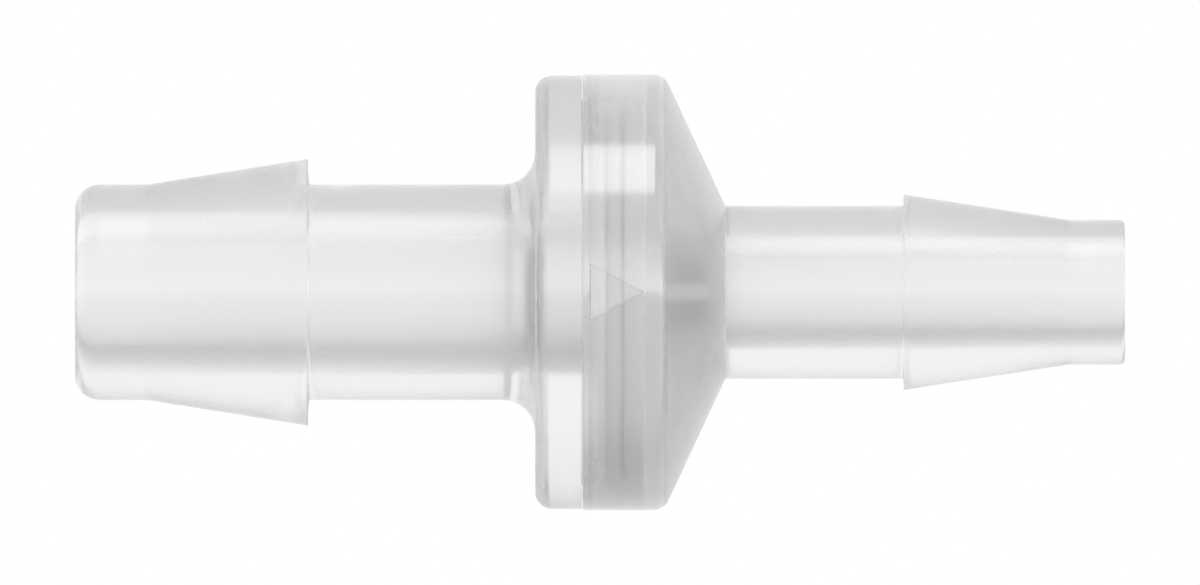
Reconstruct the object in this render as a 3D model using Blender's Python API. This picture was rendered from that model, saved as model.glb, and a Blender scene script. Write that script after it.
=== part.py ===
"""In-line check valve with two hose barbs, a sprung soft-faced poppet and a snap-together body.

Metres, +Z up. The origin is the centre of the inlet's end face, and +X runs along the axis with the
flow: the large barb, the flange, the joint, the cone, then the small barb. Every piece is round about
that axis. Radii end in _R, and places along the axis, counted from the inlet's end face, end in _X.
"""

import math

import bmesh
import bpy
from mathutils import Matrix, Vector

# Driving dimensions: the outside
OVERALL_LENGTH = 0.0600
INLET_NECK_R = 0.00615
INLET_TIP_ROUNDING = 0.0014
INLET_TAPER_X = 0.0041
INLET_BARB_X = 0.0134
INLET_BARB_R = 0.00763
FLANGE_X = 0.0263
FLANGE_R = 0.012375
FLANGE_ROUNDING = 0.00095
FLANGE_FILLET = 0.00185
JOINT_X = 0.02895
CAP_R = 0.01245
CAP_CORNER_X = 0.03365
CONE_SLOPE = math.radians(65)
OUTLET_NECK_R = 0.00493
OUTLET_BARB_X = 0.04735
OUTLET_BARB_R = 0.0057
OUTLET_TAPER_X = 0.0568
OUTLET_TIP_R = 0.004125
OUTLET_TIP_ROUNDING = 0.0003

# Driving dimensions: the passage and the chamber
INLET_BORE_R = 0.0032
OUTLET_BORE_R = 0.0022
CONE_WALL = 0.0016
CHAMBER_FLOOR_X = 0.0299
SEAT_X = 0.0307
SEAT_R = 0.00385
SEAT_LAND = 0.0004
SEAT_WALL = 0.0013
SEAT_BEVEL = 0.00045
LIFT = 0.0015

# Driving dimensions: the joint of the two halves
SPIGOT_INNER_R = 0.0093
SPIGOT_R = 0.0110
SPIGOT_LENGTH = 0.0024
GLAND_FLOOR_R = 0.0100
GLAND_LENGTH = 0.0011
SNAP_X = 0.02965
SNAP_HEIGHT = 0.00015
SNAP_LAND = 0.0002
SNAP_WIDTH = 0.0006
CAGE_THICKNESS = 0.0011
CAGE_INNER_R = 0.0095

# Driving dimensions: the poppet, its seal and its spring
POPPET_R = 0.0056
POPPET_WEB = 0.0007
POPPET_RIM = 0.0004
STEM_R = 0.0010
STEM_END_X = 0.0360
SEAL_R = 0.0050
SEAL_THICKNESS = 0.0008
SEAL_BORE_R = 0.0018
RETAINER_R = 0.0025
RETAINER_RIM = 0.00035
RETAINER_DOME = 0.00055
RETAINER_PIN_R = 0.0006
RETAINER_DEPTH = 0.0015
HUB_X = 0.0344
HUB_LENGTH = 0.0014
HUB_R = 0.0020
SPOKES = 4
SPOKE_WIDTH = 0.0009
SPOKE_HEEL_R = 0.0039
SPOKE_SHOULDER_R = 0.0062
SPOKE_OVERLAP = 0.0003
STOP_OUTER_R = 0.0059
STOP_INNER_R = 0.0046
WIRE_R = 0.000125
SPRING_TURNS = 4.5
SPRING_FLAT_TURNS = 0.5
SPRING_LARGE_R = 0.0029
SPRING_SMALL_R = 0.00155

# The small bevels on moulded edges, and on the seal and the pin
EDGE = 0.0002
SMALL_EDGE = 0.00015

# The flow arrow
ARROW_BASE_X = 0.0294
ARROW_TIP_X = 0.03255
ARROW_HALF_HEIGHT = 0.0017
ARROW_DEPTH = 0.0002

# Clearances
TOUCHING = 0.00005
RUNNING = 0.00008
SPOKE_CLEARANCE = 0.0002

# Smoothness
BODY_SEGMENTS = 64
SMALL_SEGMENTS = 32
STEPS_PER_TURN = 18
ROUNDING_STEPS = 4
TIP_STEPS = 5
RING_SIDES = 12
SHARP_ANGLE = math.radians(35)
WELD = 1e-7

ORIGIN = Vector((0, 0, 0))
FLOW = Vector((1, 0, 0))

SPIGOT_END_X = JOINT_X + SPIGOT_LENGTH
SOCKET_R = SPIGOT_R + TOUCHING
CAGE_X = SPIGOT_END_X + TOUCHING
SEAL_X = SEAT_X + TOUCHING
WEB_X = SEAL_X + SEAL_THICKNESS + TOUCHING
POPPET_BACK_X = WEB_X + POPPET_WEB
STOP_X = POPPET_BACK_X + LIFT + 2 * TOUCHING


def arc(x, radius, rounding, start, end, steps):
    """Points (x, radius) on an arc, its angles in degrees from +X towards the outside."""
    angles = [math.radians(start + (end - start) * i / steps) for i in range(steps + 1)]
    return [(x + rounding * math.cos(a), radius + rounding * math.sin(a)) for a in angles]


def chamfered(x, radius, towards_x, towards_r, size):
    """The two points of a 45 degree chamfer at (x, radius), first along X and then along the radius."""
    return [(x + towards_x * size, radius), (x, radius + towards_r * size)]


def plastic(name, color, roughness, metallic=0.0):
    material = bpy.data.materials.new(name)
    material.use_nodes = True
    shader = material.node_tree.nodes["Principled BSDF"]
    shader.inputs["Base Color"].default_value = (*color, 1.0)
    shader.inputs["Roughness"].default_value = roughness
    shader.inputs["Metallic"].default_value = metallic
    return material


def add_object(name, data, material, parent=None, x=0.0):
    piece = bpy.data.objects.new(name, data)
    piece.location.x = x
    piece.parent = parent
    data.materials.append(material)
    bpy.context.scene.collection.objects.link(piece)
    return piece


def mesh_from(name, shape):
    """The finished mesh of a bmesh: welded, facing out, and smooth except at its corners."""
    bmesh.ops.remove_doubles(shape, verts=shape.verts, dist=WELD)
    bmesh.ops.recalc_face_normals(shape, faces=shape.faces)
    mesh = bpy.data.meshes.new(name)
    shape.to_mesh(mesh)
    shape.free()
    mesh.shade_smooth()
    mesh.set_sharp_from_angle(angle=SHARP_ANGLE)
    return mesh


def turned(name, outline, segments, origin_x=0.0):
    """A solid of revolution about the X axis, from its half section as a closed (x, radius) outline."""
    shape = bmesh.new()
    verts = [shape.verts.new((x - origin_x, 0, radius)) for x, radius in outline]
    edges = [
        shape.edges.new((a, b))
        for a, b in zip(verts, verts[1:] + verts[:1])
        if a.co.z > WELD or b.co.z > WELD
    ]
    bmesh.ops.spin(
        shape,
        geom=verts + edges,
        cent=ORIGIN,
        axis=FLOW,
        angle=math.tau,
        steps=segments,
        use_merge=True,
    )
    return mesh_from(name, shape)


def prism(name, outline, low_y, high_y, turns=(0.0,)):
    """An (x, z) outline extruded from low_y to high_y, repeated at these angles about the X axis."""
    shape = bmesh.new()
    for turn in turns:
        face = shape.faces.new([shape.verts.new((x, low_y, z)) for x, z in outline])
        made = bmesh.ops.extrude_face_region(shape, geom=[face])["geom"]
        grown = [v for v in made if isinstance(v, bmesh.types.BMVert)]
        bmesh.ops.translate(shape, verts=grown, vec=(0, high_y - low_y, 0))
        whole = list({*face.verts, *grown})
        bmesh.ops.rotate(shape, verts=whole, cent=ORIGIN, matrix=Matrix.Rotation(turn, 3, "X"))
    return mesh_from(name, shape)


def combine(piece, helper, operation):
    """Joins a helper to a piece, or cuts it out, with a Boolean; the helper isn't part of the valve."""
    helper.hide_render = True
    helper.display_type = "WIRE"
    boolean = piece.modifiers.new(helper.name, "BOOLEAN")
    boolean.operation = operation
    boolean.object = helper


def inside_cone_x(radius):
    """Where the chamber's conical wall, CONE_WALL inside the outer cone, has this radius."""
    outer_x = CAP_CORNER_X + (CAP_R - radius) / math.tan(CONE_SLOPE)
    return outer_x - CONE_WALL / math.sin(CONE_SLOPE)


def snap_profile(radius, height, land, width):
    """The snap bead on the spigot, or the groove that it springs into, from its first edge to its last."""
    return [
        (SNAP_X - width / 2, radius),
        (SNAP_X - land / 2, radius + height),
        (SNAP_X + land / 2, radius + height),
        (SNAP_X + width / 2, radius),
    ]


def inlet_housing(material):
    """The large barb and the flange, with the raised seat and the spigot that goes into the outlet half."""
    outline = [(0, INLET_BORE_R)]
    outline += arc(
        INLET_TIP_ROUNDING,
        INLET_NECK_R - INLET_TIP_ROUNDING,
        INLET_TIP_ROUNDING,
        180,
        90,
        TIP_STEPS,
    )
    outline += [
        (INLET_TAPER_X, INLET_NECK_R),
        (INLET_BARB_X, INLET_BARB_R),
        (INLET_BARB_X, INLET_NECK_R),
    ]
    outline += arc(
        FLANGE_X - FLANGE_FILLET,
        INLET_NECK_R + FLANGE_FILLET,
        FLANGE_FILLET,
        -90,
        0,
        ROUNDING_STEPS,
    )
    outline += arc(
        FLANGE_X + FLANGE_ROUNDING,
        FLANGE_R - FLANGE_ROUNDING,
        FLANGE_ROUNDING,
        180,
        90,
        ROUNDING_STEPS,
    )
    outline += [(JOINT_X, FLANGE_R), (JOINT_X, SPIGOT_R)]
    outline += snap_profile(SPIGOT_R, SNAP_HEIGHT, SNAP_LAND, SNAP_WIDTH)
    outline += [
        (SPIGOT_END_X - GLAND_LENGTH, SPIGOT_R),
        (SPIGOT_END_X - GLAND_LENGTH, GLAND_FLOOR_R),
        (SPIGOT_END_X, GLAND_FLOOR_R),
        (SPIGOT_END_X, SPIGOT_INNER_R),
        (CHAMBER_FLOOR_X, SPIGOT_INNER_R),
        (CHAMBER_FLOOR_X, INLET_BORE_R + SEAT_WALL),
        (SEAT_X - SEAT_BEVEL, INLET_BORE_R + SEAT_WALL),
        (SEAT_X, SEAT_R + SEAT_LAND / 2),
        (SEAT_X, SEAT_R - SEAT_LAND / 2),
        (SEAT_X - SEAT_BEVEL, INLET_BORE_R),
    ]
    return add_object("inlet_housing", turned("inlet_housing", outline, BODY_SEGMENTS), material)


def outlet_housing(material):
    """The cap, cone and small barb, with the socket for the spigot and the flow arrow sunk in its side."""
    face_x = JOINT_X + TOUCHING
    rounding_x = CAP_CORNER_X - FLANGE_ROUNDING * math.tan(CONE_SLOPE / 2)
    outline = [(face_x, SOCKET_R), *reversed(chamfered(face_x, CAP_R, 1, -1, TOUCHING))]
    outline += arc(
        rounding_x,
        CAP_R - FLANGE_ROUNDING,
        FLANGE_ROUNDING,
        90,
        90 - math.degrees(CONE_SLOPE),
        ROUNDING_STEPS,
    )
    outline += [
        (CAP_CORNER_X + (CAP_R - OUTLET_NECK_R) / math.tan(CONE_SLOPE), OUTLET_NECK_R),
        (OUTLET_BARB_X, OUTLET_NECK_R),
        (OUTLET_BARB_X, OUTLET_BARB_R),
        (OUTLET_TAPER_X, OUTLET_TIP_R),
    ]
    outline += arc(
        OVERALL_LENGTH - OUTLET_TIP_ROUNDING,
        OUTLET_TIP_R - OUTLET_TIP_ROUNDING,
        OUTLET_TIP_ROUNDING,
        90,
        0,
        ROUNDING_STEPS,
    )
    outline += [
        (OVERALL_LENGTH, OUTLET_BORE_R),
        (inside_cone_x(OUTLET_BORE_R), OUTLET_BORE_R),
        (inside_cone_x(SOCKET_R), SOCKET_R),
    ]
    outline += reversed(
        snap_profile(
            SOCKET_R, SNAP_HEIGHT + TOUCHING / 2, SNAP_LAND + 2 * TOUCHING, SNAP_WIDTH + 2 * TOUCHING
        )
    )
    outline = [(x - face_x, radius) for x, radius in outline]
    housing = add_object(
        "outlet_housing", turned("outlet_housing", outline, BODY_SEGMENTS), material, x=face_x
    )
    combine(housing, flow_arrow(material), "DIFFERENCE")
    return housing


def flow_arrow(material):
    """The cutter of the flow arrow: a triangle that points along the flow, on the cap's -Y side."""
    outline = [
        (ARROW_BASE_X, ARROW_HALF_HEIGHT),
        (ARROW_BASE_X, -ARROW_HALF_HEIGHT),
        (ARROW_TIP_X, 0),
    ]
    cutter = prism("flow_arrow", outline, -CAP_R - ARROW_HALF_HEIGHT, ARROW_DEPTH - CAP_R)
    return add_object("flow_arrow", cutter, material)


def guide_cage(material):
    """The ring held between the halves, whose spokes carry the bush for the stem and stop the poppet."""
    ring_outer = SOCKET_R - RUNNING
    ring = [
        (CAGE_X, CAGE_INNER_R),
        (CAGE_X, ring_outer),
        (CAGE_X + CAGE_THICKNESS, ring_outer),
        (CAGE_X + CAGE_THICKNESS, CAGE_INNER_R),
    ]
    mesh = turned("guide_cage", ring, BODY_SEGMENTS, CAGE_X)
    cage = add_object("guide_cage", mesh, material, x=CAGE_X)
    combine(cage, stem_bush(material), "UNION")
    combine(cage, spokes(material), "UNION")
    return cage


def stem_bush(material):
    hub_end_x = HUB_X + HUB_LENGTH
    bore_r = STEM_R + RUNNING
    outline = [
        (HUB_X, bore_r),
        (HUB_X, HUB_R),
        *chamfered(hub_end_x, HUB_R, -1, -1, EDGE),
        (hub_end_x, bore_r),
    ]
    return add_object("stem_bush", turned("stem_bush", outline, SMALL_SEGMENTS), material)


def spokes(material):
    """Flat ribs from the cage's ring down to the bush, with a land that the open poppet rests on."""
    rib_outer = CAGE_INNER_R + SPOKE_OVERLAP
    rib_inner = HUB_R - SPOKE_OVERLAP
    heel_x = HUB_X + HUB_LENGTH - SPOKE_CLEARANCE
    outline = [
        (CAGE_X + CAGE_THICKNESS / 2, rib_outer),
        (STOP_X, STOP_OUTER_R),
        (STOP_X, STOP_INNER_R),
        (HUB_X + SPOKE_OVERLAP, rib_inner),
        (heel_x, rib_inner),
        (heel_x, SPOKE_HEEL_R),
        (inside_cone_x(SPOKE_SHOULDER_R) - SPOKE_CLEARANCE, SPOKE_SHOULDER_R),
        (CAGE_X + CAGE_THICKNESS - TOUCHING, rib_outer),
    ]
    turns = [math.tau * i / SPOKES for i in range(SPOKES)]
    ribs = prism("spokes", outline, -SPOKE_WIDTH / 2, SPOKE_WIDTH / 2, turns)
    return add_object("spokes", ribs, material)


def poppet(material, slide):
    """The disc that closes the seat, with the recess for its seal, and the stem that guides it."""
    hole_r = RETAINER_PIN_R + TOUCHING
    hole_end_x = SEAL_X + RETAINER_DEPTH + TOUCHING
    boss_r = SPRING_LARGE_R - 6 * WIRE_R  # clear of the coils when they nest
    boss_x = POPPET_BACK_X + 2 * WIRE_R
    outline = [
        (hole_end_x, 0),
        (hole_end_x, hole_r),
        (SEAL_X, hole_r),
        (SEAL_X, SEAL_BORE_R - TOUCHING),
        (WEB_X, SEAL_BORE_R - TOUCHING),
        (WEB_X, SEAL_R + TOUCHING),
        (WEB_X - POPPET_RIM, SEAL_R + TOUCHING),
        *reversed(chamfered(WEB_X - POPPET_RIM, POPPET_R, 1, -1, EDGE)),
        *chamfered(POPPET_BACK_X, POPPET_R, -1, -1, EDGE),
        (POPPET_BACK_X, boss_r),
        (boss_x, boss_r),
        (boss_x, STEM_R),
        *chamfered(STEM_END_X, STEM_R, -1, -1, EDGE),
        (STEM_END_X, 0),
    ]
    mesh = turned("poppet", outline, SMALL_SEGMENTS, SEAL_X)
    return add_object("poppet", mesh, material, slide)


def poppet_seal(material, slide):
    """The soft ring in the poppet's recess, which meets the seat."""
    back_x = SEAL_X + SEAL_THICKNESS
    outline = [
        *chamfered(SEAL_X, SEAL_BORE_R, 1, 1, SMALL_EDGE),
        *reversed(chamfered(SEAL_X, SEAL_R, 1, -1, SMALL_EDGE)),
        *chamfered(back_x, SEAL_R, -1, -1, SMALL_EDGE),
        *reversed(chamfered(back_x, SEAL_BORE_R, -1, 1, SMALL_EDGE)),
    ]
    mesh = turned("poppet_seal", outline, SMALL_SEGMENTS, SEAL_X)
    return add_object("poppet_seal", mesh, material, slide)


def seal_retainer(material, slide):
    """The domed button whose pin is pressed into the poppet, so that its head holds the seal."""
    back_x = SEAL_X - TOUCHING
    rim_x = back_x - RETAINER_RIM
    pin_end_x = SEAL_X + RETAINER_DEPTH
    dome = [math.pi / 2 * i / ROUNDING_STEPS for i in range(ROUNDING_STEPS + 1)]
    outline = [(rim_x - RETAINER_DOME * math.cos(a), RETAINER_R * math.sin(a)) for a in dome]
    outline += [
        (back_x, RETAINER_R),
        (back_x, RETAINER_PIN_R),
        *chamfered(pin_end_x, RETAINER_PIN_R, -1, -1, SMALL_EDGE),
        (pin_end_x, 0),
    ]
    mesh = turned("seal_retainer", outline, SMALL_SEGMENTS, SEAL_X)
    return add_object("seal_retainer", mesh, material, slide)


def body_o_ring(material):
    """The ring that seals the joint, squeezed into the corner at the spigot's end."""
    gland_x = SPIGOT_END_X - GLAND_LENGTH
    middle_x = (gland_x + CAGE_X) / 2
    middle_r = (GLAND_FLOOR_R + SOCKET_R) / 2
    half_length = (CAGE_X - gland_x) / 2 - TOUCHING
    half_height = (SOCKET_R - GLAND_FLOOR_R) / 2 - TOUCHING
    angles = [math.tau * (i + 0.5) / RING_SIDES for i in range(RING_SIDES)]
    outline = [
        (half_length * math.cos(a), middle_r + half_height * math.sin(a)) for a in angles
    ]
    mesh = turned("body_o_ring", outline, BODY_SEGMENTS)
    return add_object("body_o_ring", mesh, material, x=middle_x)


def spring_point(turn):
    """The wire's centre after this many turns: a cone with a flat end coil at the poppet and the bush."""
    start_x = POPPET_BACK_X + WIRE_R + TOUCHING
    end_x = HUB_X - WIRE_R - TOUCHING
    climb = (turn - SPRING_FLAT_TURNS) / (SPRING_TURNS - 2 * SPRING_FLAT_TURNS)
    climb = min(max(climb, 0), 1)
    radius = SPRING_LARGE_R + (SPRING_SMALL_R - SPRING_LARGE_R) * climb
    angle = math.tau * turn
    return (
        start_x + (end_x - start_x) * climb - POPPET_BACK_X,
        radius * math.sin(angle),
        radius * math.cos(angle),
    )


def spring(material):
    """The conical compression spring between the poppet's back and the bush, its coils nesting when open."""
    wire = bpy.data.curves.new("spring", "CURVE")
    wire.dimensions = "3D"
    wire.bevel_depth = WIRE_R
    wire.bevel_resolution = 1
    wire.use_fill_caps = True
    steps = round(SPRING_TURNS * STEPS_PER_TURN)
    coil = wire.splines.new("POLY")
    coil.points.add(steps)
    for i, point in enumerate(coil.points):
        point.co = (*spring_point(SPRING_TURNS * i / steps), 1)
    return add_object("spring", wire, material, x=POPPET_BACK_X)


def poppet_slide():
    """The empty on the valve's axis that carries the moving pieces; it moves along +X to open."""
    slide = bpy.data.objects.new("poppet_slide", None)
    slide.location.x = SEAL_X
    slide.empty_display_size = POPPET_R
    bpy.context.scene.collection.objects.link(slide)
    return slide


def main():
    for old in list(bpy.data.objects):
        bpy.data.objects.remove(old, do_unlink=True)
    inlet_housing(plastic("inlet_polymer", (0.88, 0.88, 0.88), 0.32))
    outlet_housing(plastic("outlet_polymer", (0.80, 0.80, 0.80), 0.30))
    guide_cage(plastic("cage_polymer", (0.84, 0.84, 0.84), 0.35))
    slide = poppet_slide()
    poppet(plastic("poppet_polymer", (0.86, 0.86, 0.86), 0.35), slide)
    seal_retainer(plastic("retainer_polymer", (0.86, 0.86, 0.86), 0.35), slide)
    poppet_seal(plastic("seal_silicone", (0.78, 0.79, 0.79), 0.45), slide)
    body_o_ring(plastic("o_ring_silicone", (0.78, 0.79, 0.79), 0.45))
    spring(plastic("spring_steel", (0.62, 0.62, 0.61), 0.22, 1.0))


main()
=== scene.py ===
"""The looks of the in-line check valve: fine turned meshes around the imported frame.

The housings are clear moulded polymer, the inner pieces are milky and the spring is steel wire.
Metres, the frame's own axes: the valve's axis is X, the flow runs towards +X, and the arrow is
on -Y. Radii end in _R, and places along the axis end in _X.
"""

import math

import bmesh
import bpy
from mathutils import Matrix, Vector


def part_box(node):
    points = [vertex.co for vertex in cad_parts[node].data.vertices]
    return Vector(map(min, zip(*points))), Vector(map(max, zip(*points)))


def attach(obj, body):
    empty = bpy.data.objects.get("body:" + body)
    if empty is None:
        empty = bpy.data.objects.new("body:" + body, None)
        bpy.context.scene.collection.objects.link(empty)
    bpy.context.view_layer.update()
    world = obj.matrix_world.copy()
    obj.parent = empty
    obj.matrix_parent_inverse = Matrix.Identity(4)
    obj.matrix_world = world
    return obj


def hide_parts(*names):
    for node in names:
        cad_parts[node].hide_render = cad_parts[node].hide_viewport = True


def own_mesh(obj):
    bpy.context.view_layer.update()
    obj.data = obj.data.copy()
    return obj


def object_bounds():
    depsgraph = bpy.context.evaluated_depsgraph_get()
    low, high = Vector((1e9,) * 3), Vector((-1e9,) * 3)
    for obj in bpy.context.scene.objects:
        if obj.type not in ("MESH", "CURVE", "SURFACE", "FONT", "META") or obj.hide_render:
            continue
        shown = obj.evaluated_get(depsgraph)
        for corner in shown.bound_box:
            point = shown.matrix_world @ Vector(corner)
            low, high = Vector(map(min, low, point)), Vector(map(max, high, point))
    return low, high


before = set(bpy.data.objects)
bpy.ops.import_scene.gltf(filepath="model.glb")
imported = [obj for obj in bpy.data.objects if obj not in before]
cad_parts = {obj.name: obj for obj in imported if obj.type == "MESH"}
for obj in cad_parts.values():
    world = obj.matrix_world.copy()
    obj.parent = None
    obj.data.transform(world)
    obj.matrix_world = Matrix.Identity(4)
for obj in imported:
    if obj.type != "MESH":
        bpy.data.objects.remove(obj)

cad_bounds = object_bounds()
CAP_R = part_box("outlet_housing")[1].z

HOUSING = "housing"
POPPET = "poppet_assembly"

# The outside
INLET_NECK_R = 0.00615
INLET_TAPER_X = 0.0041
INLET_BARB_X = 0.0134
INLET_BARB_R = 0.00763
FLANGE_X = 0.0263
FLANGE_R = 0.012375
FLANGE_ROUNDING = 0.00095
JOINT_X = 0.02895
CAP_CORNER_X = 0.03365
CONE_SLOPE = math.radians(65)
OUTLET_NECK_R = 0.00493
OUTLET_BARB_X = 0.04735
OUTLET_BARB_R = 0.0057
OUTLET_TAPER_X = 0.0568
OUTLET_TIP_R = 0.004125

# The passage, the chamber and the joint of the halves
INLET_BORE_R = 0.0032
OUTLET_BORE_R = 0.0022
CONE_WALL = 0.0016
CHAMBER_FLOOR_X = 0.0299
SEAT_X = 0.0307
SEAT_BEVEL = 0.00045
SEAT_R = 0.00385
SEAT_LAND = 0.0004
SEAT_OUTER_R = 0.0045
SPIGOT_INNER_R = 0.0093
SPIGOT_R = 0.0110
SPIGOT_END_X = 0.03135
GLAND_FLOOR_R = 0.0100
GLAND_X = 0.03025
SNAP_X = 0.02965
SNAP_HALF_WIDTH = 0.0003
SNAP_HEIGHT = 0.00015

# The poppet, its seal and the cage
SEAL_BORE_R = 0.0018
POPPET_RIM = 0.0004
POPPET_WEB = 0.0007
BOSS_R = 0.00215
BOSS_HEIGHT = 0.00025
STEM_R = 0.0010
RETAINER_RIM = 0.00035
PIN_R = 0.0006
HUB_X = 0.0344
HUB_LENGTH = 0.0014
HUB_R = 0.0020
CAGE_INNER_R = 0.0095
CAGE_THICKNESS = 0.0011
SPOKES = 4
SPOKE_WIDTH = 0.0009
SPOKE_OVERLAP = 0.0003
SPOKE_CLEARANCE = 0.0002
SPOKE_HEEL_R = 0.0039
SPOKE_SHOULDER_R = 0.0062
STOP_X = 0.0339
STOP_OUTER_R = 0.0059
STOP_INNER_R = 0.0046

# The spring, whose coils nest when the poppet is open
WIRE_R = 0.000125
SPRING_TURNS = 4.5
SPRING_FLAT_TURNS = 0.5
SPRING_LARGE_R = 0.0029
SPRING_SMALL_R = 0.00155

# The flow arrow, sunk in the cap with sloping walls
ARROW_BASE_X = 0.0294
ARROW_TIP_X = 0.03255
ARROW_HALF_HEIGHT = 0.0017
ARROW_DEPTH = 0.0002
ARROW_DRAFT = 0.00016

# Roundings, from the joint line's crisp edge to the largest one
JOINT_EDGE = 0.00004
CRISP_EDGE = 0.00005
SHARP_EDGE = 0.00006
FINE_EDGE = 0.00008
EDGE = 0.0001
EASED_EDGE = 0.00015
SOFT_EDGE = 0.0002
BROAD_EDGE = 0.00025
FILLET = 0.0003
CHAMBER_FILLET = 0.0005
BORE_FLARE = 0.0006
TIP_ROUNDING = 0.0014
NECK_FILLET = 0.00185
TAPER_ROUNDING = 0.003

# Clearances and fineness
TOUCHING = 0.00005
RUNNING = 0.00008
SOCKET_R = SPIGOT_R + TOUCHING
BODY_SEGMENTS = 192
INNER_SEGMENTS = 96
SHARP_ANGLE = math.radians(28)
WELD = 1e-7
ORIGIN = Vector((0, 0, 0))
FLOW = Vector((1, 0, 0))

# The studio: brightness by direction about the valve's axis, in degrees up from straight behind it
AROUND = (
    (-180, 0.84),
    (-150, 0.86),
    (-130, 0.88),
    (-115, 0.88),
    (-100, 0.72),
    (-85, 0.55),
    (-60, 0.62),
    (-30, 0.74),
    (0, 0.90),
    (45, 0.96),
    (70, 0.92),
    (90, 0.75),
    (110, 0.75),
    (130, 0.86),
    (150, 0.86),
    (180, 0.84),
)
BRIGHTEST = 2.0  # what full white in the ramp stands for
SIDES = 1.2  # how much brighter the directions along the valve's axis are
SIDES_FROM = 0.25
SIDES_TO = 0.95
SOFTBOX = 1.7  # the soft light's strength
SOFTBOX_DISTANCE = 0.5
SOFTBOX_ELEVATION = math.radians(69)
SOFTBOX_HALF_WIDTH = math.radians(12)
SOFTBOX_HALF_HEIGHT = math.radians(15)
FLOOR_HALF_SIZE = 0.4
FLOOR_GAP = 0.00002
VIEW_WIDTH = 1200 / 17500
VIEW_MIDDLE_X = 0.030
VIEW_MIDDLE_Z = -0.0000143
VIEW_DISTANCE = 0.5
LIGHT_BOUNCES = 40  # light turns many times inside the clear walls

# The materials
POLYMER_IOR = 1.45
SILICONE_IOR = 1.41
FROST = 0.25  # roughness added where the mould's core leaves the faces dull
MILK = 0.9  # the share of the inner pieces' light that scatters inside them
SCATTER_LENGTH = 0.0005
# The rim's coat is a stand-in that brightens the cap and the flange. No real polymer has its index.
RIM_COAT_IOR = 2.2
RIM_COAT_ROUGHNESS = 0.15
FLANGE_POLISH = 0.3  # the coat's weight on the flange, where the cap's is 1
CLEAR_GRAIN = 0.0000005
MILKY_GRAIN = 0.000002
SILICONE_GRAIN = 0.000003
DRAW_LINES = 0.0000015
NOISE_LOW = 0.3
NOISE_HIGH = 0.7


def rounded(corners, steps=6):
    """A closed (x, radius) outline from (x, radius, rounding) corners, each rounding an arc."""
    outline = []
    for i, (x, radius, rounding) in enumerate(corners):
        here = Vector((x, radius))
        before = Vector(corners[i - 1][:2])
        after = Vector(corners[(i + 1) % len(corners)][:2])
        if not rounding:
            outline.append(here)
            continue
        back, on = (before - here).normalized(), (after - here).normalized()
        half = back.angle(on) / 2
        centre = here + (back + on).normalized() * rounding / math.sin(half)
        start = here + back * rounding / math.tan(half) - centre
        sweep = (math.pi - 2 * half) * (1 if start.cross(here + on - centre) > 0 else -1)
        for k in range(steps + 1):
            turn = Matrix.Rotation(sweep * k / steps, 2)
            outline.append(centre + turn @ start)
    return outline


def finished_mesh(name, shape):
    bmesh.ops.remove_doubles(shape, verts=shape.verts, dist=WELD)
    bmesh.ops.recalc_face_normals(shape, faces=shape.faces)
    mesh = bpy.data.meshes.new(name)
    shape.to_mesh(mesh)
    shape.free()
    mesh.shade_smooth()
    mesh.set_sharp_from_angle(angle=SHARP_ANGLE)
    return mesh


def add_piece(name, mesh, material, body):
    piece = bpy.data.objects.new(name, mesh)
    bpy.context.scene.collection.objects.link(piece)
    mesh.materials.append(material)
    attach(piece, body)
    return piece


def stands_for(node):
    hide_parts(node)


def turned(name, outline, segments):
    """A mesh turned about the X axis from a closed (x, radius) half section.

    It starts half a segment round, so that no edge runs through the arrow's tip.
    """
    shape = bmesh.new()
    start = math.pi / segments
    across, up = math.sin(start), math.cos(start)
    verts = [shape.verts.new((x, radius * across, radius * up)) for x, radius in outline]
    edges = [
        shape.edges.new((a, b))
        for a, b in zip(verts, verts[1:] + verts[:1])
        if a.co.z > WELD or b.co.z > WELD
    ]
    bmesh.ops.spin(
        shape,
        geom=verts + edges,
        cent=ORIGIN,
        axis=FLOW,
        angle=math.tau,
        steps=segments,
        use_merge=True,
    )
    return finished_mesh(name, shape)


def shaped_by(piece, mesh, operation):
    """Applies a Boolean of another mesh to the piece."""
    helper = bpy.data.objects.new("helper", mesh)
    bpy.context.scene.collection.objects.link(helper)
    modifier = piece.modifiers.new("shape", "BOOLEAN")
    modifier.operation = operation
    modifier.object = helper
    view = bpy.context.evaluated_depsgraph_get()
    result = bpy.data.meshes.new_from_object(piece.evaluated_get(view))
    piece.modifiers.clear()
    piece.data = result
    result.shade_smooth()
    result.set_sharp_from_angle(angle=SHARP_ANGLE)
    bpy.data.objects.remove(helper)


def marked(piece, name, test):
    """Marks the points whose place along the axis and radius pass the test."""
    marks = piece.data.attributes.new(name, "FLOAT", "POINT").data
    for mark, vertex in zip(marks, piece.data.vertices):
        mark.value = float(test(vertex.co.x, math.hypot(vertex.co.y, vertex.co.z)))


def on_rim(x, radius):
    """Whether a point is on the polished rim that the flange and the cap share."""
    return radius > FLANGE_R - FLANGE_ROUNDING / 2 and FLANGE_X < x < CAP_CORNER_X


def inside_cone_x(radius):
    """Where the chamber's conical wall has this radius."""
    outer_x = CAP_CORNER_X + (CAP_R - radius) / math.tan(CONE_SLOPE)
    return outer_x - CONE_WALL / math.sin(CONE_SLOPE)


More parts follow.
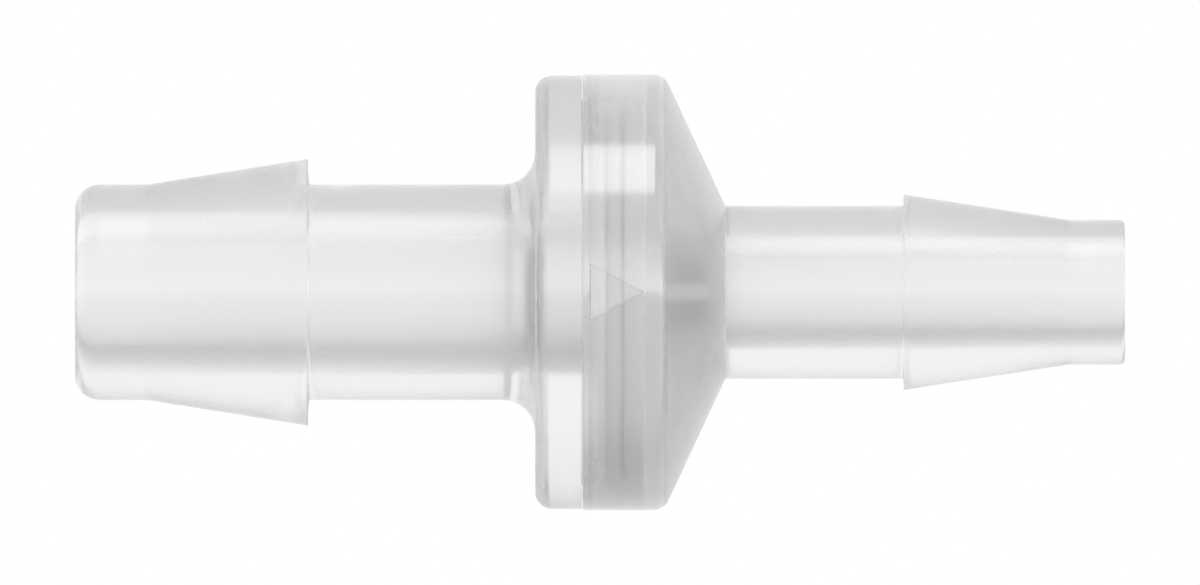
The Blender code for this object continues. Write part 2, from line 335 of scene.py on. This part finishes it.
def inlet_outline():
    land = SEAT_LAND / 2
    return rounded(
        [
            (0, INLET_BORE_R, SOFT_EDGE),
            (0, INLET_NECK_R, TIP_ROUNDING),
            (INLET_TAPER_X, INLET_NECK_R, TAPER_ROUNDING),
            (INLET_BARB_X, INLET_BARB_R, FINE_EDGE),
            (INLET_BARB_X, INLET_NECK_R, EDGE),
            (FLANGE_X, INLET_NECK_R, NECK_FILLET),
            (FLANGE_X, FLANGE_R, FLANGE_ROUNDING),
            (JOINT_X, FLANGE_R, JOINT_EDGE),
            (JOINT_X, SPIGOT_R, 0),
            (SNAP_X - SNAP_HALF_WIDTH, SPIGOT_R, EDGE),
            (SNAP_X, SPIGOT_R + SNAP_HEIGHT, EDGE),
            (SNAP_X + SNAP_HALF_WIDTH, SPIGOT_R, EDGE),
            (GLAND_X, SPIGOT_R, CRISP_EDGE),
            (GLAND_X, GLAND_FLOOR_R, EDGE),
            (SPIGOT_END_X, GLAND_FLOOR_R, CRISP_EDGE),
            (SPIGOT_END_X, SPIGOT_INNER_R, SOFT_EDGE),
            (CHAMBER_FLOOR_X, SPIGOT_INNER_R, CHAMBER_FILLET),
            (CHAMBER_FLOOR_X, SEAT_OUTER_R, BROAD_EDGE),
            (SEAT_X - SEAT_BEVEL, SEAT_OUTER_R, EDGE),
            (SEAT_X, SEAT_R + land, FINE_EDGE),
            (SEAT_X, SEAT_R - land, FINE_EDGE),
            (SEAT_X - SEAT_BEVEL, INLET_BORE_R, SOFT_EDGE),
        ]
    )


def outlet_outline():
    face_x = JOINT_X + TOUCHING
    end_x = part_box("outlet_housing")[1].x
    neck_x = CAP_CORNER_X + (CAP_R - OUTLET_NECK_R) / math.tan(CONE_SLOPE)
    return rounded(
        [
            (face_x, SOCKET_R, 0),
            (face_x, CAP_R, SHARP_EDGE),
            (CAP_CORNER_X, CAP_R, FLANGE_ROUNDING),
            (neck_x, OUTLET_NECK_R, EASED_EDGE),
            (OUTLET_BARB_X, OUTLET_NECK_R, EDGE),
            (OUTLET_BARB_X, OUTLET_BARB_R, SHARP_EDGE),
            (OUTLET_TAPER_X, OUTLET_TIP_R, TAPER_ROUNDING),
            (end_x, OUTLET_TIP_R, FILLET),
            (end_x, OUTLET_BORE_R, EASED_EDGE),
            (inside_cone_x(OUTLET_BORE_R), OUTLET_BORE_R, BORE_FLARE),
            (inside_cone_x(SOCKET_R), SOCKET_R, FILLET),
            (SNAP_X + SNAP_HALF_WIDTH, SOCKET_R, EDGE),
            (SNAP_X, SOCKET_R + SNAP_HEIGHT, EDGE),
            (SNAP_X - SNAP_HALF_WIDTH, SOCKET_R, EDGE),
        ]
    )


def arrow():
    """A triangular frustum. Its small end is the arrow's floor, and its walls lean outwards."""
    floor_y = ARROW_DEPTH - CAP_R
    outside = ARROW_DEPTH + ARROW_HALF_HEIGHT
    centre = Vector(((2 * ARROW_BASE_X + ARROW_TIP_X) / 3, 0, 0))
    corners = [
        Vector((ARROW_BASE_X, 0, ARROW_HALF_HEIGHT)),
        Vector((ARROW_BASE_X, 0, -ARROW_HALF_HEIGHT)),
        Vector((ARROW_TIP_X, 0, 0)),
    ]
    shape = bmesh.new()
    rings = []
    for depth in (0, outside):
        spread_by = 1 + (depth / ARROW_DEPTH - 1) * ARROW_DRAFT / (corners[0] - centre).length
        ring = [centre + (corner - centre) * spread_by for corner in corners]
        rings.append([shape.verts.new((p.x, floor_y - depth, p.z)) for p in ring])
    shape.faces.new(rings[0])
    shape.faces.new(rings[1])
    for i in range(3):
        shape.faces.new((rings[0][i - 1], rings[0][i], rings[1][i], rings[1][i - 1]))
    return finished_mesh("arrow", shape)


def in_chamber(x, radius):
    """Whether a point of the outlet housing is on its socket or its chamber's wall."""
    return radius < SOCKET_R + SNAP_HEIGHT + TOUCHING and x < inside_cone_x(radius) + CONE_WALL / 2


def housings():
    mesh = turned("inlet_body", inlet_outline(), BODY_SEGMENTS)
    inlet = add_piece("inlet_body", mesh, clear_polymer("inlet_polymer"), HOUSING)
    marked(inlet, "frost", lambda x, radius: x > JOINT_X + TOUCHING and radius < GLAND_FLOOR_R)
    marked(inlet, "polish", lambda x, radius: FLANGE_POLISH * on_rim(x, radius))
    stands_for("inlet_housing")
    mesh = turned("outlet_body", outlet_outline(), BODY_SEGMENTS)
    outlet = add_piece("outlet_body", mesh, clear_polymer("outlet_polymer"), HOUSING)
    shaped_by(outlet, arrow(), "DIFFERENCE")
    marked(outlet, "frost", in_chamber)
    marked(outlet, "polish", on_rim)
    stands_for("outlet_housing")


def spokes(cage_x):
    """The ribs from the cage's ring down to its bush."""
    rib_outer = CAGE_INNER_R + SPOKE_OVERLAP
    rib_inner = HUB_R - SPOKE_OVERLAP
    heel_x = HUB_X + HUB_LENGTH - SPOKE_CLEARANCE
    outline = [
        (cage_x + CAGE_THICKNESS / 2, rib_outer),
        (STOP_X, STOP_OUTER_R),
        (STOP_X, STOP_INNER_R),
        (HUB_X + SPOKE_OVERLAP, rib_inner),
        (heel_x, rib_inner),
        (heel_x, SPOKE_HEEL_R),
        (inside_cone_x(SPOKE_SHOULDER_R) - SPOKE_CLEARANCE, SPOKE_SHOULDER_R),
        (cage_x + CAGE_THICKNESS - TOUCHING, rib_outer),
    ]
    shape = bmesh.new()
    for i in range(SPOKES):
        face = shape.faces.new([shape.verts.new((x, -SPOKE_WIDTH / 2, z)) for x, z in outline])
        made = bmesh.ops.extrude_face_region(shape, geom=[face])["geom"]
        grown = [v for v in made if isinstance(v, bmesh.types.BMVert)]
        bmesh.ops.translate(shape, verts=grown, vec=(0, SPOKE_WIDTH, 0))
        turn = Matrix.Rotation(math.tau * i / SPOKES, 3, "X")
        bmesh.ops.rotate(shape, verts=list({*face.verts, *grown}), cent=ORIGIN, matrix=turn)
    return finished_mesh("spokes", shape)


def guide_cage():
    low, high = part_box("guide_cage")
    ring = rounded(
        [
            (low.x, CAGE_INNER_R, EASED_EDGE),
            (low.x, high.z, EDGE),
            (low.x + CAGE_THICKNESS, high.z, EDGE),
            (low.x + CAGE_THICKNESS, CAGE_INNER_R, EASED_EDGE),
        ]
    )
    bush = rounded(
        [
            (HUB_X, STEM_R + RUNNING, EDGE),
            (HUB_X, HUB_R, EDGE),
            (HUB_X + HUB_LENGTH, HUB_R, SOFT_EDGE),
            (HUB_X + HUB_LENGTH, STEM_R + RUNNING, EDGE),
        ]
    )
    mesh = turned("cage", ring, BODY_SEGMENTS)
    cage = add_piece("cage", mesh, inner_polymer("cage_polymer"), HOUSING)
    shaped_by(cage, turned("bush", bush, INNER_SEGMENTS), "UNION")
    shaped_by(cage, spokes(low.x), "UNION")
    stands_for("guide_cage")


def poppet():
    low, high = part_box("poppet")
    seal_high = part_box("poppet_seal")[1]
    web_x = seal_high.x + TOUCHING
    back_x = web_x + POPPET_WEB
    pin_end_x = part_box("seal_retainer")[1].x + TOUCHING
    outline = rounded(
        [
            (pin_end_x, 0, 0),
            (pin_end_x, PIN_R + TOUCHING, EDGE),
            (low.x, PIN_R + TOUCHING, EDGE),
            (low.x, SEAL_BORE_R - TOUCHING, EDGE),
            (web_x, SEAL_BORE_R - TOUCHING, EASED_EDGE),
            (web_x, seal_high.z + TOUCHING, EASED_EDGE),
            (web_x - POPPET_RIM, seal_high.z + TOUCHING, EDGE),
            (web_x - POPPET_RIM, high.z, SOFT_EDGE),
            (back_x, high.z, BROAD_EDGE),
            (back_x, BOSS_R, EASED_EDGE),
            (back_x + BOSS_HEIGHT, BOSS_R, EDGE),
            (back_x + BOSS_HEIGHT, STEM_R, FILLET),
            (high.x, STEM_R, FILLET),
            (high.x, 0, 0),
        ]
    )
    mesh = turned("poppet_disc", outline, INNER_SEGMENTS)
    disc = add_piece("poppet_disc", mesh, inner_polymer("poppet_polymer"), POPPET)
    stands_for("poppet")


def seal():
    low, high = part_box("poppet_seal")
    outline = rounded(
        [
            (low.x, SEAL_BORE_R, SOFT_EDGE),
            (low.x, high.z, SOFT_EDGE),
            (high.x, high.z, SOFT_EDGE),
            (high.x, SEAL_BORE_R, SOFT_EDGE),
        ]
    )
    mesh = turned("soft_seal", outline, INNER_SEGMENTS)
    soft = add_piece("soft_seal", mesh, silicone("seal_silicone"), POPPET)
    stands_for("poppet_seal")


def retainer():
    low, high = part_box("seal_retainer")
    back_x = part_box("poppet_seal")[0].x - TOUCHING
    rim_x = back_x - RETAINER_RIM
    steps = 12
    dome = [math.pi / 2 * i / steps for i in range(steps + 1)]
    outline = [Vector((rim_x - (rim_x - low.x) * math.cos(a), high.z * math.sin(a))) for a in dome]
    back = [
        (back_x, high.z, EDGE),
        (back_x, PIN_R, EDGE),
        (high.x, PIN_R, EASED_EDGE),
        (high.x, 0, 0),
        (rim_x, 0, 0),
        (rim_x, high.z, 0),
    ]
    outline += [point for point in rounded(back) if point.x > rim_x + WELD]
    mesh = turned("retainer_button", outline, INNER_SEGMENTS)
    piece = add_piece("retainer_button", mesh, inner_polymer("retainer_polymer"), POPPET)
    stands_for("seal_retainer")


def o_ring():
    low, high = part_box("body_o_ring")
    half_length = (high.x - low.x) / 2
    middle = Vector(((low.x + high.x) / 2, (GLAND_FLOOR_R + SOCKET_R) / 2))
    half_height = high.z - middle.y
    sides = 28
    angles = [math.tau * i / sides for i in range(sides)]
    outline = [
        middle + Vector((half_length * math.cos(a), half_height * math.sin(a))) for a in angles
    ]
    mesh = turned("ring_seal", outline, BODY_SEGMENTS)
    ring = add_piece("ring_seal", mesh, silicone("o_ring_silicone"), HOUSING)
    stands_for("body_o_ring")


def spring_point(turn, start_x, end_x):
    climb = (turn - SPRING_FLAT_TURNS) / (SPRING_TURNS - 2 * SPRING_FLAT_TURNS)
    climb = min(max(climb, 0), 1)
    radius = SPRING_LARGE_R + (SPRING_SMALL_R - SPRING_LARGE_R) * climb
    angle = math.tau * turn
    x = start_x + (end_x - start_x) * climb
    return Vector((x, radius * math.sin(angle), radius * math.cos(angle)))


def spring():
    """The conical spring, a round wire along its coil."""
    low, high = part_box("spring")
    steps_per_turn, sides = 40, 12
    steps = round(SPRING_TURNS * steps_per_turn)
    around = [math.tau * k / sides for k in range(sides)]
    shape = bmesh.new()
    rings = []
    for i in range(steps + 1):
        centre = spring_point(SPRING_TURNS * i / steps, low.x + WIRE_R, high.x - WIRE_R)
        outwards = Vector((0, centre.y, centre.z)).normalized()
        skin = [centre + WIRE_R * (outwards * math.cos(a) + FLOW * math.sin(a)) for a in around]
        rings.append([shape.verts.new(point) for point in skin])
    for ring, following in zip(rings, rings[1:]):
        for k in range(sides):
            shape.faces.new((ring[k - 1], ring[k], following[k], following[k - 1]))
    shape.faces.new(rings[0])
    shape.faces.new(rings[-1])
    piece = add_piece("coil", finished_mesh("coil", shape), spring_steel(), HOUSING)
    stands_for("spring")
    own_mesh(piece)


def new_material(name):
    material = bpy.data.materials.new(name)
    material.use_nodes = True
    return material, material.node_tree.nodes, material.node_tree.links


def noise(nodes, links, scale, detail, stretch=(1, 1, 1)):
    """Noise in the piece's own coordinates, with this many features in a metre."""
    place = nodes.new("ShaderNodeTexCoord")
    mapping = nodes.new("ShaderNodeMapping")
    mapping.inputs["Scale"].default_value = stretch
    links.new(place.outputs["Object"], mapping.inputs["Vector"])
    texture = nodes.new("ShaderNodeTexNoise")
    texture.inputs["Scale"].default_value = scale
    texture.inputs["Detail"].default_value = detail
    links.new(mapping.outputs["Vector"], texture.inputs["Vector"])
    return texture.outputs["Fac"]


def spread(nodes, links, source, low, high):
    """The source's middle range turned into values from low to high."""
    ranged = nodes.new("ShaderNodeMapRange")
    ranged.inputs["From Min"].default_value = NOISE_LOW
    ranged.inputs["From Max"].default_value = NOISE_HIGH
    ranged.inputs["To Min"].default_value = low
    ranged.inputs["To Max"].default_value = high
    links.new(source, ranged.inputs["Value"])
    return ranged.outputs["Result"]


def shaded(nodes, links, source, dark, light):
    """A grey that wanders between two levels with the source."""
    level = spread(nodes, links, source, dark, light)
    grey = nodes.new("ShaderNodeCombineColor")
    for channel in ("Red", "Green", "Blue"):
        links.new(level, grey.inputs[channel])
    return grey.outputs["Color"]


def bumped(nodes, links, source, height, shader):
    bump = nodes.new("ShaderNodeBump")
    bump.inputs["Distance"].default_value = height
    links.new(source, bump.inputs["Height"])
    links.new(bump.outputs["Normal"], shader.inputs["Normal"])


def marks(nodes, name):
    attribute = nodes.new("ShaderNodeAttribute")
    attribute.attribute_name = name
    return attribute.outputs["Fac"]


def frosted(nodes, links, roughness):
    """Roughness that rises where the mould's core leaves the faces dull."""
    rise = nodes.new("ShaderNodeMath")
    rise.operation = "MULTIPLY_ADD"
    rise.inputs[1].default_value = FROST
    links.new(marks(nodes, "frost"), rise.inputs[0])
    links.new(roughness, rise.inputs[2])
    return rise.outputs[0]


def clear_polymer(name):
    """Clear moulded polymer: a satin skin with fine grain, and faint flow marks along the axis."""
    material, nodes, links = new_material(name)
    shader = nodes["Principled BSDF"]
    shader.inputs["IOR"].default_value = POLYMER_IOR
    shader.inputs["Transmission Weight"].default_value = 1.0
    flow_marks = noise(nodes, links, scale=260, detail=3, stretch=(0.35, 1, 1))
    grain = noise(nodes, links, scale=9000, detail=2)
    tint = shaded(nodes, links, flow_marks, dark=0.97, light=0.985)
    links.new(tint, shader.inputs["Base Color"])
    skin = spread(nodes, links, flow_marks, low=0.18, high=0.23)
    links.new(frosted(nodes, links, skin), shader.inputs["Roughness"])
    links.new(marks(nodes, "polish"), shader.inputs["Coat Weight"])
    shader.inputs["Coat IOR"].default_value = RIM_COAT_IOR
    shader.inputs["Coat Roughness"].default_value = RIM_COAT_ROUGHNESS
    bumped(nodes, links, grain, CLEAR_GRAIN, shader)
    return material


def milky(nodes, links, clouds, dark, light):
    """Makes a shader scatter most of its light inside, as natural polymer and silicone do."""
    shader = nodes["Principled BSDF"]
    shader.inputs["Transmission Weight"].default_value = 1 - MILK
    shader.inputs["Subsurface Weight"].default_value = 1.0
    shader.inputs["Subsurface Radius"].default_value = (1, 1, 1)
    shader.inputs["Subsurface Scale"].default_value = SCATTER_LENGTH
    links.new(shaded(nodes, links, clouds, dark, light), shader.inputs["Base Color"])
    return shader


def inner_polymer(name):
    """The inner pieces' natural polymer, milky and with a coarser skin than the housings."""
    material, nodes, links = new_material(name)
    clouds = noise(nodes, links, scale=600, detail=3)
    grain = noise(nodes, links, scale=12000, detail=2)
    shader = milky(nodes, links, clouds, dark=0.975, light=0.995)
    shader.inputs["IOR"].default_value = POLYMER_IOR
    skin = spread(nodes, links, clouds, low=0.35, high=0.45)
    links.new(skin, shader.inputs["Roughness"])
    bumped(nodes, links, grain, MILKY_GRAIN, shader)
    return material


def silicone(name):
    """Soft translucent silicone with a dull skin."""
    material, nodes, links = new_material(name)
    clouds = noise(nodes, links, scale=900, detail=4)
    grain = noise(nodes, links, scale=16000, detail=3)
    shader = milky(nodes, links, clouds, dark=0.97, light=0.99)
    shader.inputs["IOR"].default_value = SILICONE_IOR
    skin = spread(nodes, links, clouds, low=0.45, high=0.55)
    links.new(skin, shader.inputs["Roughness"])
    bumped(nodes, links, grain, SILICONE_GRAIN, shader)
    return material


def spring_steel():
    """Drawn stainless wire with fine draw lines."""
    material, nodes, links = new_material("spring_steel")
    shader = nodes["Principled BSDF"]
    shader.inputs["Metallic"].default_value = 1.0
    lines = noise(nodes, links, scale=7000, detail=2, stretch=(2.5, 1, 1))
    clouds = noise(nodes, links, scale=1500, detail=2)
    tint = shaded(nodes, links, clouds, dark=0.66, light=0.78)
    links.new(tint, shader.inputs["Base Color"])
    skin = spread(nodes, links, lines, low=0.22, high=0.38)
    links.new(skin, shader.inputs["Roughness"])
    bumped(nodes, links, lines, DRAW_LINES, shader)
    return material


def camera():
    data = bpy.data.cameras.new("camera")
    data.type = "ORTHO"
    data.ortho_scale = VIEW_WIDTH
    data.clip_start = 0.01
    data.clip_end = 10
    eye = bpy.data.objects.new("camera", data)
    eye.location = (VIEW_MIDDLE_X, -VIEW_DISTANCE, VIEW_MIDDLE_Z)
    eye.rotation_euler = (math.pi / 2, 0, 0)
    bpy.context.scene.collection.objects.link(eye)
    bpy.context.scene.camera = eye


def surroundings(world):
    """Brightness by direction. The camera itself sees plain white, and never less."""
    nodes, links = world.node_tree.nodes, world.node_tree.links
    background = nodes["Background"]
    background.inputs["Color"].default_value = (1, 1, 1, 1)
    direction = nodes.new("ShaderNodeTexCoord")
    parts = nodes.new("ShaderNodeSeparateXYZ")
    links.new(direction.outputs["Generated"], parts.inputs["Vector"])
    angle = nodes.new("ShaderNodeMath")
    angle.operation = "ARCTAN2"
    links.new(parts.outputs["Z"], angle.inputs[0])
    links.new(parts.outputs["Y"], angle.inputs[1])
    share = nodes.new("ShaderNodeMapRange")
    share.inputs["From Min"].default_value = -math.pi
    share.inputs["From Max"].default_value = math.pi
    links.new(angle.outputs[0], share.inputs["Value"])
    ramp = nodes.new("ShaderNodeValToRGB")
    ramp.color_ramp.interpolation = "CARDINAL"
    for degrees, brightness in AROUND:
        stop = ramp.color_ramp.elements.new((degrees + 180) / 360)
        stop.color = (brightness / BRIGHTEST, brightness / BRIGHTEST, brightness / BRIGHTEST, 1)
    ramp.color_ramp.elements.remove(ramp.color_ramp.elements[0])
    ramp.color_ramp.elements.remove(ramp.color_ramp.elements[-1])
    links.new(share.outputs["Result"], ramp.inputs["Fac"])
    sideways = nodes.new("ShaderNodeMath")
    sideways.operation = "ABSOLUTE"
    links.new(parts.outputs["X"], sideways.inputs[0])
    gain = nodes.new("ShaderNodeMapRange")
    gain.interpolation_type = "SMOOTHSTEP"
    gain.inputs["From Min"].default_value = SIDES_FROM
    gain.inputs["From Max"].default_value = SIDES_TO
    gain.inputs["To Min"].default_value = BRIGHTEST
    gain.inputs["To Max"].default_value = BRIGHTEST * SIDES
    links.new(sideways.outputs[0], gain.inputs["Value"])
    level = nodes.new("ShaderNodeMath")
    level.operation = "MULTIPLY"
    links.new(ramp.outputs["Color"], level.inputs[0])
    links.new(gain.outputs["Result"], level.inputs[1])
    path = nodes.new("ShaderNodeLightPath")
    seen = nodes.new("ShaderNodeMath")
    seen.operation = "MAXIMUM"
    links.new(level.outputs[0], seen.inputs[0])
    links.new(path.outputs["Is Camera Ray"], seen.inputs[1])
    links.new(seen.outputs[0], background.inputs["Strength"])


def floor():
    """A plain pale floor just under the valve, which reflections and refractions do not see."""
    mesh = bpy.data.meshes.new("floor")
    half = FLOOR_HALF_SIZE
    z = cad_bounds[0].z - FLOOR_GAP
    signs = ((-1, -1), (1, -1), (1, 1), (-1, 1))
    corners = [(VIEW_MIDDLE_X + sx * half, sy * half, z) for sx, sy in signs]
    mesh.from_pydata(corners, [], [(0, 1, 2, 3)])
    plane = bpy.data.objects.new("floor", mesh)
    bpy.context.scene.collection.objects.link(plane)
    material, nodes, _ = new_material("floor")
    nodes["Principled BSDF"].inputs["Base Color"].default_value = (0.9, 0.9, 0.9, 1)
    nodes["Principled BSDF"].inputs["Roughness"].default_value = 0.6
    mesh.materials.append(material)
    plane.visible_glossy = False
    plane.visible_transmission = False


def softbox():
    """A soft light above the camera's side, seen as the long highlight on the upper front."""
    light = bpy.data.lights.new("softbox", "AREA")
    light.shape = "RECTANGLE"
    light.size = 2 * SOFTBOX_DISTANCE * math.tan(SOFTBOX_HALF_WIDTH)
    light.size_y = 2 * SOFTBOX_DISTANCE * math.tan(SOFTBOX_HALF_HEIGHT)
    light.energy = SOFTBOX * math.pi * light.size * light.size_y
    box = bpy.data.objects.new("softbox", light)
    middle = Vector(((cad_bounds[0].x + cad_bounds[1].x) / 2, 0, 0))
    towards = Vector((0, -math.cos(SOFTBOX_ELEVATION), math.sin(SOFTBOX_ELEVATION)))
    box.location = middle + SOFTBOX_DISTANCE * towards
    box.rotation_euler = (middle - box.location).to_track_quat("-Z", "Y").to_euler()
    box.visible_camera = False
    bpy.context.scene.collection.objects.link(box)


def studio():
    scene = bpy.context.scene
    scene.view_settings.view_transform = "Standard"
    scene.cycles.max_bounces = LIGHT_BOUNCES
    scene.cycles.transmission_bounces = LIGHT_BOUNCES
    scene.cycles.glossy_bounces = LIGHT_BOUNCES
    scene.cycles.diffuse_bounces = LIGHT_BOUNCES
    scene.world = bpy.data.worlds.new("studio")
    scene.world.use_nodes = True
    surroundings(scene.world)
    floor()
    softbox()


def main():
    camera()
    housings()
    guide_cage()
    poppet()
    seal()
    retainer()
    o_ring()
    spring()
    studio()


main()
